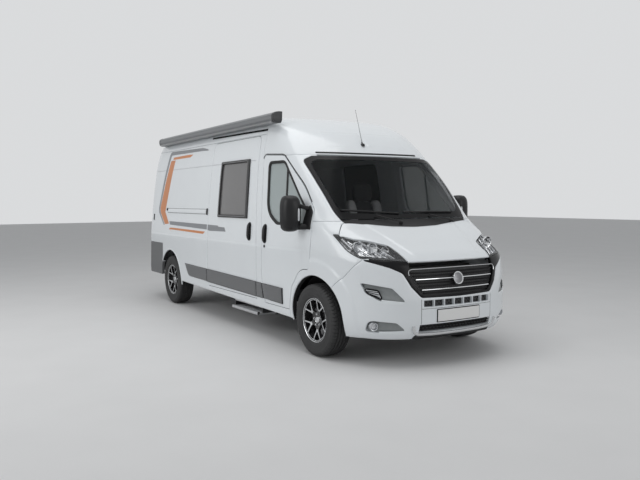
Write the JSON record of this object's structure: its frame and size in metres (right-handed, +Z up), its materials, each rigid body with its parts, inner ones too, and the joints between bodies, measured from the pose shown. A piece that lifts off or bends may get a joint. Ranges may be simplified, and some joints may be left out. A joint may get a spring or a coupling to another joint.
{
  "type": "camper van",
  "caption": "High-roof camper van on a long panel van, with hinged cab and rear doors, a lifting hood, steered front wheels, a slide-out entry step and a side awning case.",
  "frame": {"origin": "on the ground under the middle of the van, at half its length and width", "axes": "+X forward, +Y to the vehicle's left, +Z up"},
  "size_m": [5.998, 2.44, 2.56],
  "materials": {
    "paint": "gloss",
    "underbody": "matte",
    "axle": "matte",
    "black_plastic": "satin",
    "grey_plastic": "matte",
    "lamp": "clear",
    "tail_lamp": "clear",
    "glass": "clear",
    "dark_glass": "tinted",
    "tank": "matte",
    "steel": "satin",
    "awning_case": "satin",
    "step": "satin",
    "trim": "matte",
    "fabric": "woven",
    "rim": "machined",
    "tyre": "matte"
  },
  "bodies": {
    "body": {"floor": "underbody", "chassis_frame": "underbody", "front_axle": "axle", "rear_axle": "axle", "engine": "axle", "tanks": "tank", "wheel_boxes": "black_plastic", "side_wall_left": "paint", "side_wall_right": "paint", "roof": "paint", "roof_vent": "dark_glass", "a_pillars": "paint", "door_posts": "steel", "wings": "paint", "front_bumper": "paint", "grille": "black_plastic", "front_lamps": "lamp", "windscreen": "glass", "cowl_panel": "black_plastic", "sliding_door": "paint", "side_windows": "dark_glass", "rear_lamps": "tail_lamp", "rear_bumper": "grey_plastic", "awning": "awning_case", "step_frame": "steel", "dashboard": "trim", "seats": "fabric"},
    "hood": {"hood": "paint"},
    "front_door_left": {"front_door_left": "paint", "door_glass_left": "glass", "mirror_left": "black_plastic"},
    "front_door_right": {"front_door_right": "paint", "door_glass_right": "glass", "mirror_right": "black_plastic"},
    "rear_door_left": {"rear_door_left": "paint", "rear_glass_left": "dark_glass"},
    "rear_door_right": {"rear_door_right": "paint", "rear_glass_right": "dark_glass"},
    "entry_step": {"entry_step": "step"},
    "steering_wheel": {"steering_wheel": "trim"},
    "knuckle_left": {"knuckle_left": "axle"},
    "knuckle_right": {"knuckle_right": "axle"},
    "wheel_front_left": {"rim_front_left": "rim", "tyre_front_left": "tyre"},
    "wheel_front_right": {"rim_front_right": "rim", "tyre_front_right": "tyre"},
    "wheel_rear_left": {"rim_rear_left": "rim", "tyre_rear_left": "tyre"},
    "wheel_rear_right": {"rim_rear_right": "rim", "tyre_rear_right": "tyre"}
  },
  "joints": [
    {"name": "hood_lift", "type": "hinge", "parent": "body", "child": "hood", "pos_m": [2.235, 0, 1.324], "axis": [0, -1, 0], "range_deg": [0, 58]},
    {"name": "front_door_left_swing", "type": "hinge", "parent": "body", "child": "front_door_left", "pos_m": [1.935, 1, 1], "axis": [0, 0, -1], "range_deg": [0, 68]},
    {"name": "front_door_right_swing", "type": "hinge", "parent": "body", "child": "front_door_right", "pos_m": [1.935, -1, 1], "axis": [0, 0, 1], "range_deg": [0, 68]},
    {"name": "rear_door_left_swing", "type": "hinge", "parent": "body", "child": "rear_door_left", "pos_m": [-2.985, 0.806, 1.3], "axis": [0, 0, -1], "range_deg": [0, 180]},
    {"name": "rear_door_right_swing", "type": "hinge", "parent": "body", "child": "rear_door_right", "pos_m": [-2.985, -0.806, 1.3], "axis": [0, 0, 1], "range_deg": [0, 180]},
    {"name": "entry_step_slide", "type": "slide", "parent": "body", "child": "entry_step", "axis": [0, -1, 0], "range_m": [0, 0.24]},
    {"name": "steer_left", "type": "hinge", "parent": "body", "child": "knuckle_left", "pos_m": [2.051, 0.7595, 0.358], "axis": [0, 0, 1], "range_deg": [-35, 35]},
    {"name": "steer_right", "type": "hinge", "parent": "body", "child": "knuckle_right", "pos_m": [2.051, -0.7595, 0.358], "axis": [0, 0, 1], "range_deg": [-35, 35]},
    {"name": "steering_wheel_turn", "type": "hinge", "parent": "body", "child": "steering_wheel", "pos_m": [1.531, 0.42, 1.15], "axis": [-0.8829, 0, 0.4695], "range_deg": [-490, 490]},
    {"name": "wheel_front_left_spin", "type": "hinge", "parent": "knuckle_left", "child": "wheel_front_left", "pos_m": [2.051, 0.905, 0.358], "axis": [0, 1, 0], "continuous": true},
    {"name": "wheel_front_right_spin", "type": "hinge", "parent": "knuckle_right", "child": "wheel_front_right", "pos_m": [2.051, -0.905, 0.358], "axis": [0, 1, 0], "continuous": true},
    {"name": "wheel_rear_left_spin", "type": "hinge", "parent": "body", "child": "wheel_rear_left", "pos_m": [-1.984, 0.895, 0.358], "axis": [0, 1, 0], "continuous": true},
    {"name": "wheel_rear_right_spin", "type": "hinge", "parent": "body", "child": "wheel_rear_right", "pos_m": [-1.984, -0.895, 0.358], "axis": [0, 1, 0], "continuous": true}
  ],
  "couplings": [
    {"joint": "steer_right", "follows": "steer_left", "ratio": 1},
    {"joint": "steering_wheel_turn", "follows": "steer_left", "ratio": 14}
  ]
}
